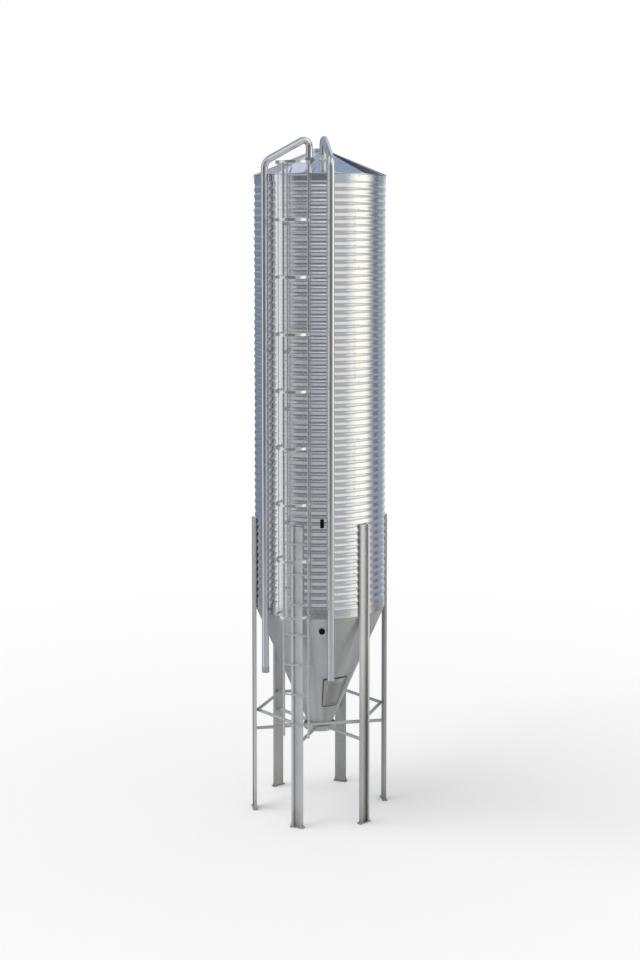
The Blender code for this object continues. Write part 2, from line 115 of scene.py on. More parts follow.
def piece(name, part, mat, smooth=35.0, nodes=()):
    """A finished piece that rides on the silo and stands for CAD nodes."""
    verts, faces = (part.v, part.f) if isinstance(part, Build) else part
    mesh = bpy.data.meshes.new(name)
    mesh.from_pydata(verts, [], faces)
    bm = bmesh.new()
    bm.from_mesh(mesh)
    bmesh.ops.recalc_face_normals(bm, faces=bm.faces)
    bm.to_mesh(mesh)
    bm.free()
    mesh.materials.append(mat)
    mesh.shade_smooth()
    mesh.set_sharp_from_angle(angle=math.radians(smooth))
    ob = bpy.data.objects.new(name, mesh)
    SCENE.collection.objects.link(ob)
    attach(ob, "root")
    if nodes:
        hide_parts(*nodes)
    return ob


def lathe(profile, segs, a0=None, a1=None, centre=(0.0, 0.0)):
    """A closed (r, z) outline turned about a vertical axis.  Points with
    r = 0 become poles.  With a0 and a1 it is a part turn with flat ends."""
    full = a0 is None
    n = segs if full else segs + 1
    verts, rows = [], []
    for r, z in profile:
        if full and r == 0.0:
            rows.append([len(verts)] * n)
            verts.append((centre[0], centre[1], z))
            continue
        row = []
        for i in range(n):
            a = 360.0 * i / n if full else a0 + (a1 - a0) * i / segs
            x, y, _ = polar(a, r, z)
            row.append(len(verts))
            verts.append((centre[0] + x, centre[1] + y, z))
        rows.append(row)
    faces = []
    m = len(profile)
    for j in range(m):
        p, q = rows[j], rows[(j + 1) % m]
        if p[0] == p[1] and q[0] == q[1]:
            continue
        for i in range(n if full else segs):
            k = (i + 1) % n
            ids = []
            for t in (p[i], p[k], q[k], q[i]):
                if t not in ids:
                    ids.append(t)
            faces.append(tuple(ids))
    if not full:
        faces.append(tuple(row[0] for row in rows))
        faces.append(tuple(row[-1] for row in reversed(rows)))
    return verts, faces


def prism(outline, z0, z1):
    n = len(outline)
    verts = [(x, y, z0) for x, y in outline] + [(x, y, z1) for x, y in outline]
    faces = [tuple(range(n)), tuple(range(n, 2 * n))]
    faces += [(i, (i + 1) % n, n + (i + 1) % n, n + i) for i in range(n)]
    return verts, faces


def rounded(w, h, r, steps=3, cx=0.0, cy=0.0):
    """Outline of a rounded rectangle round (cx, cy)."""
    out = []
    for sx, sy, start in ((1, 1, 0), (-1, 1, 90), (-1, -1, 180), (1, -1, 270)):
        for k in range(steps + 1):
            t = math.radians(start + 90.0 * k / steps)
            out.append((cx + sx * (w / 2 - r) + r * math.cos(t),
                        cy + sy * (h / 2 - r) + r * math.sin(t)))
    return out


def fillet(points, radius, steps=4):
    """An open line with its inner corners rounded."""
    pts = [Vector(p) for p in points]
    out = [pts[0]]
    for a, b, c in zip(pts, pts[1:], pts[2:]):
        u, v = (a - b).normalized(), (c - b).normalized()
        half = u.angle(v) / 2
        reach = radius / math.tan(half)
        centre = b + (u + v).normalized() * (radius / math.sin(half))
        p, q = b + u * reach - centre, b + v * reach - centre
        a0, a1 = math.atan2(p.y, p.x), math.atan2(q.y, q.x)
        turn = (a1 - a0 + math.pi) % (2 * math.pi) - math.pi
        for k in range(steps + 1):
            t = a0 + turn * k / steps
            out.append(centre + radius * Vector((math.cos(t), math.sin(t))))
    out.append(pts[-1])
    return out


def strip(points, thickness, radius, steps=4):
    """Outline of folded sheet: a rounded line given a thickness."""
    line = fillet(points, radius, steps)
    left, right = [], []
    for i, p in enumerate(line):
        d = Vector((0.0, 0.0))
        if i > 0:
            d += (p - line[i - 1]).normalized()
        if i < len(line) - 1:
            d += (line[i + 1] - p).normalized()
        d.normalize()
        n = Vector((-d.y, d.x)) * thickness / 2
        left.append(tuple(p + n))
        right.append(tuple(p - n))
    return left + right[::-1]


def bar(p0, p1, outline, up=(0.0, 0.0, 1.0)):
    """An (x, y) outline run from p0 to p1; y of the outline points along up."""
    p0, p1, up = Vector(p0), Vector(p1), Vector(up)
    z = (p1 - p0).normalized()
    x = up.cross(z).normalized()
    y = z.cross(x)
    n = len(outline)
    verts = [tuple(p + x * a + y * b) for p in (p0, p1) for a, b in outline]
    faces = [tuple(range(n)), tuple(range(n, 2 * n))]
    faces += [(i, (i + 1) % n, n + (i + 1) % n, n + i) for i in range(n)]
    return verts, faces


def circle(radius, segs, turn=0.0):
    return [(radius * math.cos(2 * math.pi * (k + turn) / segs),
             radius * math.sin(2 * math.pi * (k + turn) / segs))
            for k in range(segs)]


def bolt(size=0.016, height=0.008, washer=0.0):
    """A hexagon head with a chamfered top on a thin washer, pointing +y."""
    parts = Build()
    r = size / 2
    rows = [[(x, z) for x, z in circle(s * r, 6)] for s in (1.0, 1.0, 0.86)]
    ys = (0.001, 0.75 * height, height)
    verts = [(x, y, z) for y, row in zip(ys, rows) for x, z in row]
    faces = [tuple(range(6)), tuple(range(12, 18))]
    for j in (0, 6):
        faces += [(j + i, j + (i + 1) % 6, j + 6 + (i + 1) % 6, j + 6 + i)
                  for i in range(6)]
    parts.add((verts, faces))
    w = washer or size * 0.78
    segs = 12
    ring = circle(w, segs)
    ring2 = circle(w * 0.88, segs)
    verts = ([(x, -0.002, z) for x, z in ring] + [(x, 0.0008, z) for x, z in ring]
             + [(x, 0.0018, z) for x, z in ring2])
    faces = [tuple(range(segs)), tuple(range(2 * segs, 3 * segs))]
    for j in (0, segs):
        faces += [(j + i, j + (i + 1) % segs, j + segs + (i + 1) % segs,
                   j + segs + i) for i in range(segs)]
    parts.add((verts, faces))
    return parts.v, parts.f


# ------------------------------------------------------------------ materials
class Nodes:
    def __init__(self, name):
        self.mat = bpy.data.materials.new(name)
        self.mat.use_nodes = True
        self.tree = self.mat.node_tree
        self.shader = self.tree.nodes["Principled BSDF"]
        self.coord = self.new("ShaderNodeTexCoord").outputs["Object"]

    def new(self, kind, **values):
        node = self.tree.nodes.new(kind)
        for key, value in values.items():
            setattr(node, key, value)
        return node

    def link(self, a, b):
        self.tree.links.new(a, b)

    def scaled(self, sx, sy, sz):
        m = self.new("ShaderNodeMapping")
        m.inputs["Scale"].default_value = (sx, sy, sz)
        self.link(self.coord, m.inputs["Vector"])
        return m.outputs["Vector"]

    def noise(self, vector, scale, detail=3.0, rough=0.5, distortion=0.0):
        n = self.new("ShaderNodeTexNoise")
        n.inputs["Scale"].default_value = scale
        n.inputs["Detail"].default_value = detail
        n.inputs["Roughness"].default_value = rough
        n.inputs["Distortion"].default_value = distortion
        self.link(vector, n.inputs["Vector"])
        return n.outputs["Fac"]

    def voronoi(self, vector, scale):
        n = self.new("ShaderNodeTexVoronoi")
        n.inputs["Scale"].default_value = scale
        self.link(vector, n.inputs["Vector"])
        bw = self.new("ShaderNodeRGBToBW")
        self.link(n.outputs["Color"], bw.inputs["Color"])
        return bw.outputs["Val"]

    def span(self, value, lo, hi, a=0.0, b=1.0, smooth=False):
        n = self.new("ShaderNodeMapRange")
        if smooth:
            n.interpolation_type = "SMOOTHSTEP"
        for key, v in (("From Min", a), ("From Max", b), ("To Min", lo),
                       ("To Max", hi)):
            n.inputs[key].default_value = v
        self.link(value, n.inputs["Value"])
        return n.outputs["Result"]

    def math(self, kind, a, b):
        n = self.new("ShaderNodeMath", operation=kind)
        for socket, v in zip(n.inputs, (a, b)):
            if isinstance(v, (int, float)):
                socket.default_value = v
            else:
                self.link(v, socket)
        return n.outputs["Value"]

    def mix(self, fac, a, b, blend="MIX"):
        n = self.new("ShaderNodeMix", data_type="RGBA", blend_type=blend)
        for key, v in ((0, fac), (6, a), (7, b)):
            if isinstance(v, (int, float)):
                n.inputs[key].default_value = v
            elif isinstance(v, tuple):
                n.inputs[key].default_value = (*v, 1.0)
            else:
                self.link(v, n.inputs[key])
        return n.outputs[2]

    def bump(self, height, strength, distance, normal=None):
        n = self.new("ShaderNodeBump")
        n.inputs["Strength"].default_value = strength
        n.inputs["Distance"].default_value = distance
        self.link(height, n.inputs["Height"])
        if normal is not None:
            self.link(normal, n.inputs["Normal"])
        return n.outputs["Normal"]

    def height_z(self):
        n = self.new("ShaderNodeSeparateXYZ")
        self.link(self.coord, n.inputs["Vector"])
        return n.outputs["Z"]


def galvanised(name, light, dark, rough, spread, metallic, cell, grain=0.5,
               wave=0.0, dust=None, dim=0.0, streak=0.25):
    """Zinc-coated steel: crystals of slightly different shade and gloss,
    faint run marks down the face, and soft waviness in the sheet."""
    m = Nodes(name)
    s = m.shader
    s.inputs["Metallic"].default_value = metallic
    crystals = m.voronoi(m.coord, 1.0 / cell)
    cloud = m.noise(m.coord, 2.3, 4.0, 0.55)
    runs = m.noise(m.scaled(9.0, 9.0, 0.45), 1.0, 4.0, 0.6)
    shade = m.math("ADD", m.math("MULTIPLY", crystals, grain),
                   m.math("MULTIPLY", cloud, 1.0 - grain))
    shade = m.math("ADD", m.math("MULTIPLY", runs, streak),
                   m.math("MULTIPLY", shade, 1.0 - streak))
    colour = m.mix(m.span(shade, 0.0, 1.0, 0.25, 0.75), dark, light)
    roughness = m.span(m.math("ADD", m.math("MULTIPLY", crystals, 0.5),
                              m.math("MULTIPLY", cloud, 0.5)),
                       rough - spread, rough + spread, 0.25, 0.75)
    if dust is not None:
        z = m.height_z()
        low = m.span(z, 1.0, 0.0, 0.0, dust, smooth=True)
        patch = m.span(m.noise(m.coord, 7.0, 5.0, 0.6), 0.35, 1.0, 0.3, 0.7)
        amount = m.math("MULTIPLY", low, m.math("MULTIPLY", patch, 0.55))
        colour = m.mix(amount, colour, (0.21, 0.19, 0.165))
        roughness = m.math("ADD", roughness, m.math("MULTIPLY", amount, 0.3))
    # painted shade: with dim, the colour darkens towards the bottom of the piece,
    # fully below z 1.3 and fading out by z 2.9
    if dim:
        colour = m.mix(m.span(m.height_z(), dim, 0.0, 1.3, 2.9, smooth=True),
                       colour, (0.20, 0.20, 0.195))
    m.link(colour, s.inputs["Base Color"])
    m.link(roughness, s.inputs["Roughness"])
    fine = m.noise(m.coord, 420.0, 2.0)
    normal = m.bump(m.math("ADD", m.math("MULTIPLY", fine, 0.5), crystals),
                    0.10, 0.0004)
    if wave:
        normal = m.bump(m.noise(m.scaled(1.0, 1.0, 0.55), 5.5, 2.0, 0.4), wave,
                        0.004, normal)
    m.link(normal, s.inputs["Normal"])
    return m.mat


def polished(name, colour, rough):
    """Bright drawn tube: fine lines along its length and a few dull patches."""
    m = Nodes(name)
    s = m.shader
    s.inputs["Metallic"].default_value = 1.0
    lines = m.noise(m.scaled(60.0, 60.0, 1.2), 3.0, 3.0, 0.6)
    cloud = m.noise(m.coord, 3.1, 4.0, 0.6)
    fac = m.span(m.math("ADD", m.math("MULTIPLY", lines, 0.4),
                        m.math("MULTIPLY", cloud, 0.6)), 0.0, 1.0, 0.3, 0.7)
    dim = tuple(c * 0.86 for c in colour)
    m.link(m.mix(fac, dim, colour), s.inputs["Base Color"])
    m.link(m.span(cloud, rough * 0.75, rough * 1.4, 0.3, 0.7),
           s.inputs["Roughness"])
    m.link(m.bump(m.noise(m.coord, 380.0, 2.0), 0.06, 0.0003),
           s.inputs["Normal"])
    return m.mat


def rubber(name, colour):
    m = Nodes(name)
    s = m.shader
    cloud = m.noise(m.coord, 30.0, 4.0, 0.6)
    dim = tuple(c * 0.6 for c in colour)
    m.link(m.mix(m.span(cloud, 0.0, 1.0, 0.3, 0.7), dim, colour),
           s.inputs["Base Color"])
    m.link(m.span(cloud, 0.55, 0.75, 0.3, 0.7), s.inputs["Roughness"])
    m.link(m.bump(m.noise(m.coord, 600.0, 3.0), 0.2, 0.0004),
           s.inputs["Normal"])
    return m.mat


def pane(name):
    """Dark smooth window, slightly dusty."""
    m = Nodes(name)
    s = m.shader
    cloud = m.noise(m.coord, 55.0, 5.0, 0.65)
    m.link(m.mix(m.span(cloud, 0.0, 1.0, 0.35, 0.8), (0.0015, 0.0015, 0.002),
                 (0.006, 0.006, 0.007)), s.inputs["Base Color"])
    m.link(m.span(cloud, 0.10, 0.30, 0.3, 0.8), s.inputs["Roughness"])
    s.inputs["Specular IOR Level"].default_value = 0.12
    return m.mat


SHEET = galvanised("sheet_bright", (0.86, 0.87, 0.885), (0.76, 0.775, 0.80),
                   0.18, 0.03, 1.0, 0.014, grain=0.35, wave=0.10, streak=0.3)
ROOF = galvanised("roof_sheet", (0.80, 0.815, 0.84), (0.70, 0.72, 0.755),
                  0.11, 0.02, 1.0, 0.014, grain=0.35, wave=0.05)
MATTE = galvanised("galvanised_matte", (0.76, 0.76, 0.755), (0.65, 0.652, 0.655),
                   0.38, 0.04, 0.62, 0.011, grain=0.35, wave=0.05, dust=0.45)
SKIRT = galvanised("skirt_sheet", (0.72, 0.72, 0.715), (0.62, 0.622, 0.625),
                   0.24, 0.04, 0.88, 0.013, grain=0.35, wave=0.08)
# zinc of post 2 with painted shade darkening its lower part
LOW_SHADE = galvanised("galvanised_low_shade", (0.78, 0.78, 0.77), (0.67, 0.67, 0.67),
                  0.38, 0.04, 0.62, 0.011, grain=0.35, wave=0.05, dust=0.45,
                  dim=0.42)
TUBE = galvanised("galvanised_tube", (0.60, 0.60, 0.595), (0.50, 0.502, 0.505),
                  0.32, 0.05, 0.65, 0.011, grain=0.55, wave=0.0)
# a darker copy of the zinc: on posts 3 to 5 it is painted shade under the silo; the
# fill sleeve also uses it
DARK_TONE_AND_SHADE = galvanised("galvanised_dark_tone_and_shade", (0.49, 0.49, 0.485), (0.39, 0.392, 0.395),
                  0.40, 0.05, 0.60, 0.011, grain=0.55, wave=0.05, dust=0.45)
CONE = galvanised("hopper_sheet", (0.60, 0.60, 0.60), (0.52, 0.522, 0.528),
                  0.36, 0.05, 0.72, 0.013, grain=0.5, wave=0.10)
HATCH = galvanised("hatch_sheet", (0.47, 0.475, 0.46), (0.39, 0.395, 0.385),
                   0.36, 0.05, 0.72, 0.013, grain=0.5, wave=0.10)
STEEL = galvanised("ladder_steel", (0.86, 0.86, 0.86), (0.76, 0.76, 0.765),
                   0.19, 0.04, 0.97, 0.009, grain=0.5, wave=0.0)
PIPE = polished("pipe_bright", (0.86, 0.865, 0.875), 0.15)
BOLT = galvanised("bolt_zinc", (0.78, 0.78, 0.77), (0.64, 0.64, 0.64),
                  0.30, 0.05, 0.95, 0.004, grain=0.5)
SEAL = rubber("seal_rubber", (0.10, 0.10, 0.10))
BOOT = rubber("boot_rubber", (0.27, 0.30, 0.305))
PANE = pane("dark_window")

# --------------------------------------------------------------------- camera
AZ = 19.18
cam = bpy.data.cameras.new("camera")
cam_ob = bpy.data.objects.new("camera", cam)
SCENE.collection.objects.link(cam_ob)
cam.sensor_width = 36.0
cam.lens = 1478.88 * 36.0 / 960.0
cam.shift_x = (320.0 - 319.83) / 960.0
cam.shift_y = (342.99 - 480.0) / 960.0
cam.clip_end = 500.0
cam_ob.location = (*polar(AZ, 22.545, 0.0)[:2], 8.687)
cam_ob.rotation_euler = (math.radians(90.0 - 3.794), 0.0, math.radians(AZ))
SCENE.camera = cam_ob


# ---------------------------------------------------------------------- shell
def crest_r(z):
    """Radius of the corrugated sheet's outer face at height z."""
    t = math.pi * ((z - SKIRT_Z1) / PITCH - CREST)
    return 1.0 - DEPTH + DEPTH * abs(math.cos(t)) ** 2.7


def build_shell():
    number, z = 1, SKIRT_Z1
    while z < RING_TOP - 1e-6:
        top = min(z + RING_H, RING_TOP)
        low = z - 0.022
        rows = int(round((top - low) / PITCH * 14))
        outer, inner = [], []
        for k in range(rows + 1):
            h = low + (top - low) * k / rows
            tuck = 0.0022 * min(1.0, max(0.0, (h - (top - 0.045)) / 0.02))
            outer.append((crest_r(h) - tuck, h))
        few = int(round((top - low) / PITCH * 4))
        for k in range(few, -1, -1):
            h = low + (top - low) * k / few
            tuck = 0.0022 * min(1.0, max(0.0, (h - (top - 0.045)) / 0.02))
            inner.append((crest_r(h) - tuck - 0.0045, h))
        piece("sheet_ring_%d" % number, lathe(outer + inner, 160), SHEET, 50.0,
              ("shell_ring_%d" % number,))
        z, number = top, number + 1

    # bolts of the ring joints and of the upright laps
    bolts = Build()
    crest0 = SKIRT_Z1 + PITCH * CREST
    for i in range(1, 8):
        joint = SKIRT_Z1 + RING_H * i
        k = math.floor((joint - crest0) / PITCH)
        h = crest0 + k * PITCH
        for n in range(30):
            bolts.add(bolt(0.013, 0.006), radial(6.0 + 12.0 * n, crest_r(h), h))
    z = SKIRT_Z1
    for i in range(8):
        top = min(z + RING_H, RING_TOP)
        for n in range(3):
            a = 50.0 + 120.0 * n + (60.0 if i % 2 else 0.0)
            k = 0
            while crest0 + k * PITCH < top - 0.06:
                h = crest0 + k * PITCH
                if h > z + 0.02:
                    bolts.add(bolt(0.013, 0.006), radial(a, crest_r(h), h))
                k += 1
        z = top
    piece("shell_bolts", bolts, BOLT, 30.0)

    # edges of the sheets at the upright laps
    laps = Build()
    z = SKIRT_Z1
    for i in range(8):
        top = min(z + RING_H, RING_TOP)
        for n in range(3):
            a = 50.0 + 120.0 * n + (60.0 if i % 2 else 0.0) + 1.4
            rows = int((top - z) / PITCH * 10)
            verts, faces = [], []
            for k in range(rows + 1):
                h = z + (top - z) * k / rows
                r = crest_r(h)
                for da, dr in ((-2.8, -0.0012), (-2.8, 0.0002), (0.0, 0.0012),
                               (0.02, -0.0012)):
                    verts.append(polar(a + da, r + dr, h))
            for k in range(rows):
                for j in range(4):
                    p, q = 4 * k + j, 4 * k + (j + 1) % 4
                    faces.append((p, q, q + 4, p + 4))
            faces += [(0, 1, 2, 3), tuple(4 * rows + j for j in range(4))]
            laps.add((verts, faces))
        z = top
    piece("shell_laps", laps, SHEET, 50.0)

    # smooth band over the hopper, with a turned-out lower edge
    band = [(0.9990, SKIRT_Z0 + 0.006), (0.9990, SKIRT_Z0 + 0.012),
            (0.9965, SKIRT_Z0 + 0.018), (0.9945, SKIRT_Z1 + 0.006),
            (0.9895, SKIRT_Z1 + 0.006), (0.9895, SKIRT_Z0 + 0.002),
            (0.9975, SKIRT_Z0 + 0.002)]
    piece("skirt_band", lathe(band, 192), SKIRT, 40.0, ("skirt_ring",))
    bolts = Build()
    for n in range(36):
        bolts.add(bolt(0.014, 0.007), radial(5.0 + 10.0 * n, 0.9952,
                                             SKIRT_Z0 + 0.060))
    piece("skirt_bolts", bolts, BOLT, 30.0)

    # smooth band under the roof
    eave = [(0.9965, RING_TOP - 0.012), (0.9985, RING_TOP - 0.004),
            (0.9985, RING_TOP + 0.002), (0.9985, EAVE_Z - 0.012),
            (0.9985, EAVE_Z - 0.006), (0.9960, EAVE_Z - 0.002),
            (0.9920, EAVE_Z - 0.002), (0.9920, RING_TOP - 0.012)]
    piece("eave_band", lathe(eave, 192), SHEET, 50.0, ("eave_ring",))


# ----------------------------------------------------------------------- roof
def build_roof():
    # sheets: flat facets cut to a round rim
    step, parts = 360.0 / FACETS, 12
    profile = [(1.0120, 9.7255, 0.0, 0), (1.0120, 0.0, -0.0060, 1),
               (1.0095, 0.0, 0.0, 1), (0.60, 0.0, 0.0, 1), (0.158, 0.0, 0.0, 1),
               (0.158, 0.0, -0.0040, 1), (0.60, 0.0, -0.0040, 1),
               (1.0050, 0.0, -0.0040, 1), (1.0085, 9.7255, 0.0, 0)]
    count = FACETS * parts
    verts, faces = [], []
    for r, z, off, follow in profile:
        for i in range(count):
            x, y, _ = polar(FACET_A + step * i / parts, r, 0.0)
            verts.append((x, y, facet_z(x, y) + off if follow else z))
    m = len(profile)
    for j in range(m):
        for i in range(count):
            k = (i + 1) % count
            a, b = j * count, ((j + 1) % m) * count
            faces.append((a + i, a + k, b + k, b + i))
    piece("roof_sheets", (verts, faces), ROOF, 5.0, ("roof_cone",))

    # raised seams between the facets, broken where a pipe comes through
    seams = Build()
    profile = [(-0.014, 0.0005), (-0.0075, 0.0014), (-0.0055, 0.0036),
               (-0.0030, 0.0046), (0.0030, 0.0046), (0.0055, 0.0036),
               (0.0075, 0.0014), (0.014, 0.0005), (0.014, -0.002),
               (-0.014, -0.002)]
    n_p = len(profile)
    for n in range(FACETS):
        a = FACET_A + step * n
        gaps = []
        for drop_a, drop_r in (FILL_DROP, RETURN_DROP):
            off = math.radians((a - drop_a + 180.0) % 360.0 - 180.0)
            if abs(drop_r * math.sin(off)) < 0.11 and math.cos(off) > 0:
                middle = drop_r * math.cos(off)
                gaps.append((middle - 0.100, middle + 0.100))
        runs, start = [], 0.176
        for g0, g1 in gaps:
            runs.append((start, g0))
            start = g1
        runs.append((start, 1.0080))
        for r0, r1 in runs:
            verts, faces = [], []
            stations = (r0, r0 + 0.006, (r0 + r1) / 2, r1 - 0.006, r1)
            for k, r in enumerate(stations):
                f = 0.2 if k in (0, 4) else 1.0
                m = radial(a, r, roof_z(r))
                for x, z in profile:
                    verts.append(tuple(m @ Vector((x, 0.0,
                                                   z * f if z > 0 else z))))
            for k in range(4):
                for j in range(n_p):
                    p, q = n_p * k + j, n_p * k + (j + 1) % n_p
                    faces.append((p, q, q + n_p, p + n_p))
            faces += [tuple(range(n_p)), tuple(n_p * 4 + j for j in range(n_p))]
            seams.add((verts, faces))
    piece("roof_seams", seams, ROOF, 60.0)

    bolts = Build()
    for n in range(36):
        bolts.add(bolt(0.012, 0.006), radial(5.0 + 10.0 * n, 0.9988,
                                             EAVE_Z - 0.028))
    piece("eave_bolts", bolts, BOLT, 30.0)

    z0 = roof_z(0.170) - 0.001
    cap = [(0.0, z0 + 0.060), (0.060, z0 + 0.0575), (0.110, z0 + 0.0525),
           (0.145, z0 + 0.0470), (0.162, z0 + 0.0420), (0.168, z0 + 0.0360),
           (0.170, z0 + 0.0290), (0.170, z0 + 0.0020), (0.1685, z0 + 0.0005),
           (0.1660, z0 + 0.0020), (0.1660, z0 + 0.0280), (0.0, z0 + 0.0400)]
    piece("roof_lid", lathe(cap, 96), ROOF, 35.0, ("roof_cap",))


# --------------------------------------------------------------------- hopper
def on_cone(a, z, off):
    return polar(a, cone_r(z) + off * math.cos(CONE_TILT),
                 z - off * math.sin(CONE_TILT))


def rounded_patch(a0, a1, z0, z1, corner, steps=5):
    """Points (angle, z) of a rounded patch on the hopper, round its middle."""
    zc, ac = (z0 + z1) / 2, (a0 + a1) / 2
    out = []
    for sa, sz, start in ((1, 1, 0), (-1, 1, 90), (-1, -1, 180), (1, -1, 270)):
        for k in range(steps + 1):
            t = math.radians(start + 90.0 * k / steps)
            dz = corner * (math.sin(t) - sz) / 1.0
            z = (z1 if sz > 0 else z0) + dz * 0.92
            da = math.degrees(corner * (math.cos(t) - sa) / cone_r(z))
            out.append(((a1 if sa > 0 else a0) + da, z))
    return out


def refine(loop, count):
    """count points evenly along a closed (angle, z) loop."""
    pts = [(a * 0.0075, z, a) for a, z in loop]
    n = len(pts)
    seg = [math.dist(pts[i][:2], pts[(i + 1) % n][:2]) for i in range(n)]
    total, out, i, start = sum(seg), [], 0, 0.0
    for k in range(count):
        s = total * k / count
        while s > start + seg[i]:
            start += seg[i]
            i += 1
        t = (s - start) / seg[i] if seg[i] else 0.0
        p, q = pts[i], pts[(i + 1) % n]
        out.append((p[2] + (q[2] - p[2]) * t, p[1] + (q[1] - p[1]) * t))
    return out


def ring_patch(loops):
    """Closed solid through a list of loops of (angle, z, offset) points."""
    n = len(loops[0])
    verts = [on_cone(*p) for loop in loops for p in loop]
    faces = []
    m = len(loops)
    for j in range(m):
        for i in range(n):
            k = (i + 1) % n
            a, b = j * n, ((j + 1) % m) * n
            faces.append((a + i, a + k, b + k, b + i))
    return verts, faces


def build_hopper():
    z0, z1 = 1.2333, 3.1547
    wall = 0.004
    heights = [z0 + (z1 - z0) * k / 8 for k in range(9)]
    outline = [(cone_r(h), h) for h in heights]
    outline += [(cone_r(h) - wall, h) for h in reversed(heights)]
    piece("hopper_sheets", lathe(outline, 160), CONE, 40.0, ("hopper_cone",))

    # laps between the hopper's sheets, with their bolts
    laps, bolts = Build(), Build()
    for n in range(8):
        a = 10.0 + 45.0 * n
        verts, faces = [], []
        rows = 12
        for k in range(rows + 1):
            h = z0 + 0.075 + (z1 - 0.004 - z0 - 0.075) * k / rows
            half = math.degrees(0.017 / cone_r(h))
            for da, off in ((-half, -0.001), (-half, 0.0004), (half * 0.94, 0.0028),
                            (half, 0.0020), (half, -0.001)):
                verts.append(on_cone(a + da, h, off))
        for k in range(rows):
            for j in range(5):
                p, q = 5 * k + j, 5 * k + (j + 1) % 5
                faces.append((p, q, q + 5, p + 5))
        faces += [tuple(range(5)), tuple(5 * rows + j for j in range(5))]
        laps.add((verts, faces))
        if n not in (1,):
            for k in range(14):
                h = 1.385 + 0.128 * k
                bolts.add(bolt(0.012, 0.006),
                          radial(a, cone_r(h) + 0.0014, h, CONE_TILT))
        else:
            for k in (6, 7, 8, 9, 10, 11, 12, 13):
                h = 1.385 + 0.128 * k
                bolts.add(bolt(0.012, 0.006),
                          radial(a, cone_r(h) + 0.0014, h, CONE_TILT))
    piece("hopper_laps", laps, CONE, 40.0)
    piece("hopper_bolts", bolts, BOLT, 30.0)

    # hatch: seal and slightly crowned cover
    a0, a1, h0, h1 = 23.8, 69.0, 1.635, 2.135
    count = 96

    def loop(inset, corner, off):
        da = inset / 0.47 * 57.2958
        pts = refine(rounded_patch(a0 + da, a1 - da, h0 + inset, h1 - inset,
                                   corner), count)
        return [(a, z, off) for a, z in pts]

    seal = [loop(0.0, 0.030, 0.0008), loop(0.0, 0.030, 0.0070),
            loop(0.003, 0.028, 0.0092), loop(0.0155, 0.020, 0.0092),
            loop(0.0185, 0.018, 0.0070), loop(0.0185, 0.018, 0.0008)]
    piece("hatch_gasket", ring_patch(seal), SEAL, 40.0, ("hatch_seal",))

    cover = [loop(0.0190, 0.018, 0.0010), loop(0.0190, 0.018, 0.0095),
             loop(0.0215, 0.017, 0.0115), loop(0.055, 0.030, 0.0120),
             loop(0.061, 0.030, 0.0160), loop(0.090, 0.035, 0.0165)]
    n = count
    verts = [on_cone(*p) for lp in cover for p in lp]
    faces = []
    for j in range(len(cover) - 1):
        for i in range(n):
            k = (i + 1) % n
            faces.append((j * n + i, j * n + k, (j + 1) * n + k, (j + 1) * n + i))
    ac, zc = (a0 + a1) / 2, (h0 + h1) / 2
    for base, off, flip in ((0, 0.0010, True), ((len(cover) - 1) * n, 0.0166,
                                                False)):
        # the middle is filled with two shrinking loops and a centre point
        prev = [base + i for i in range(n)]
        source = verts[base:base + n]
        lp = cover[0] if flip else cover[-1]
        for f in (0.62, 0.28):
            ids = []
            for (a, z, _) in lp:
                ids.append(len(verts))
                verts.append(on_cone(ac + (a - ac) * f, zc + (z - zc) * f, off))
            for i in range(n):
                k = (i + 1) % n
                faces.append((prev[i], prev[k], ids[k], ids[i]))
            prev = ids
        centre = len(verts)
        verts.append(on_cone(ac, zc, off))
        for i in range(n):
            faces.append((prev[i], prev[(i + 1) % n], centre))
    piece("hatch_plate", (verts, faces), HATCH, 35.0, ("hatch_cover",))

    # outlet flange and its bolts
    flange = [(0.140, 1.2220), (0.1415, 1.2210), (0.2485, 1.2210),
              (0.2500, 1.2225), (0.2500, 1.2315), (0.2485, 1.2330),
              (0.1415, 1.2330), (0.140, 1.2320)]
    piece("outlet_plate", lathe(flange, 96), MATTE, 30.0, ("outlet_flange",))
    collar = [(cone_r(1.233) + 0.0005, 1.2335), (cone_r(1.265) + 0.010, 1.2335),
              (cone_r(1.265) + 0.010, 1.263), (cone_r(1.265) + 0.007, 1.267),
              (cone_r(1.267) + 0.0005, 1.267)]
    piece("outlet_collar", lathe(collar, 96), MATTE, 30.0)
    bolts = Build()
    down = Matrix.Rotation(math.radians(-90), 4, "X")
    up = Matrix.Rotation(math.radians(90), 4, "X")
    for k in range(12):
        p = polar(15.0 + 30.0 * k, 0.212, 0.0)
        bolts.add(bolt(0.016, 0.009),
                  Matrix.Translation((p[0], p[1], 1.221)) @ down)
        bolts.add(bolt(0.016, 0.009),
                  Matrix.Translation((p[0], p[1], 1.233)) @ up)
    piece("outlet_bolts", bolts, BOLT, 30.0)

    # round sight window: a dark pane in a level stub
    z_w, end = 2.965, 0.950
    spot = radial(WINDOW_A, end, z_w)
    turn = Matrix.Rotation(math.radians(-90), 4, "X")
    glass = [(0.0, -0.0120), (0.0465, -0.0120), (0.0465, -0.0070),
             (0.0450, -0.0055), (0.0250, -0.0050), (0.0, -0.0048)]
    piece("round_window", Build().add(lathe(glass, 64), spot @ turn), PANE, 40.0,
          ("lower_sight_glass",))
    rows = ((0.0575, None), (0.0575, -0.0030), (0.0550, 0.0), (0.0495, 0.0),
            (0.0472, -0.0020), (0.0472, None))
    sides, verts, faces = 64, [], []
    for r, y in rows:
        for k in range(sides):
            t = 2 * math.pi * k / sides
            x, z = r * math.cos(t), r * math.sin(t)
            wall = math.sqrt((cone_r(z_w + z) + 0.0008) ** 2 - x * x) - end
            verts.append((x, wall if y is None else y, z))
    for j in range(6):
        for k in range(sides):
            n, a, b = (k + 1) % sides, j * sides, (j + 1) % 6 * sides
            faces.append((a + k, a + n, b + n, b + k))
    piece("round_window_stub", Build().add((verts, faces), spot), STEEL, 40.0,
          ("lower_sight_frame",))


